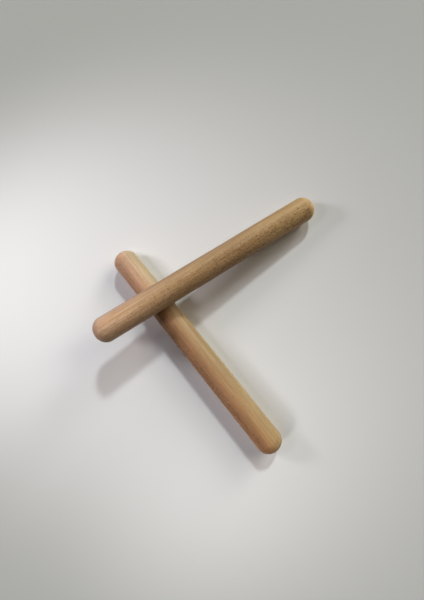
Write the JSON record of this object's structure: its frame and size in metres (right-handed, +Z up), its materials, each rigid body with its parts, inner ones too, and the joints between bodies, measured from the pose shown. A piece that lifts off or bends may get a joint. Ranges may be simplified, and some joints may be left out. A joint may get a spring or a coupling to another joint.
{
  "type": "claves",
  "caption": "Pair of claves: turned hardwood sticks with rounded ends, one lying flat and the other leaning across it, struck together to sound.",
  "frame": {"origin": "on the table, under the middle of the pair's box", "axes": "+Z up; +X to the right and +Y away, as the pair is seen from above with the raised end at the left; the shortest extent is along Z"},
  "size_m": [0.17, 0.2014, 0.0465],
  "materials": {
    "pale_beech": "satin",
    "pink_beech": "satin"
  },
  "bodies": {
    "resting_clave": {"resting_clave": "pale_beech"},
    "striking_clave": {"striking_clave": "pink_beech"}
  },
  "joints": [
    {"name": "striker_lift", "type": "slide", "parent": "resting_clave", "child": "striking_clave", "axis": [0, 0, 1], "range_m": [0, 0.08]}
  ]
}
